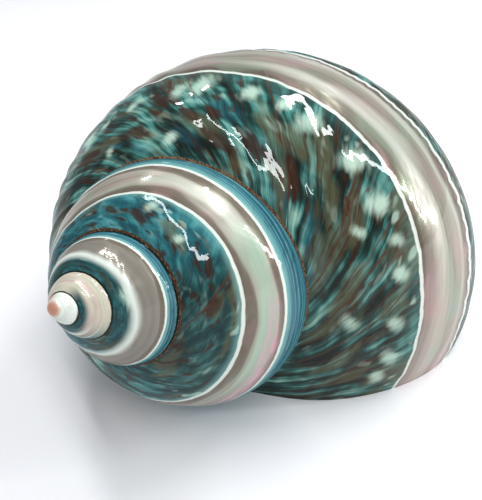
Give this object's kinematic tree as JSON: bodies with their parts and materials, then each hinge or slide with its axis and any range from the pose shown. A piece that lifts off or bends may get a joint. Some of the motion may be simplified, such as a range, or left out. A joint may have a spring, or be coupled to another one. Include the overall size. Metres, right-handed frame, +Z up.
{
  "type": "turban shell",
  "caption": "Polished banded turban shell: a swelling right-hand spiral of whorls in jade green and pearl, lying on its open mouth with the pointed spire to one side.",
  "frame": {"origin": "middle of the shell's box in X and Y, on the surface it lies on", "axes": "+X towards the spire's tip, +Y towards the mouth's far side, +Z up, away from the surface under the mouth"},
  "size_m": [0.065, 0.0608, 0.0423],
  "materials": {
    "shell": "polished"
  },
  "bodies": {
    "root": {"turban_shell": "shell"}
  },
  "joints": []
}
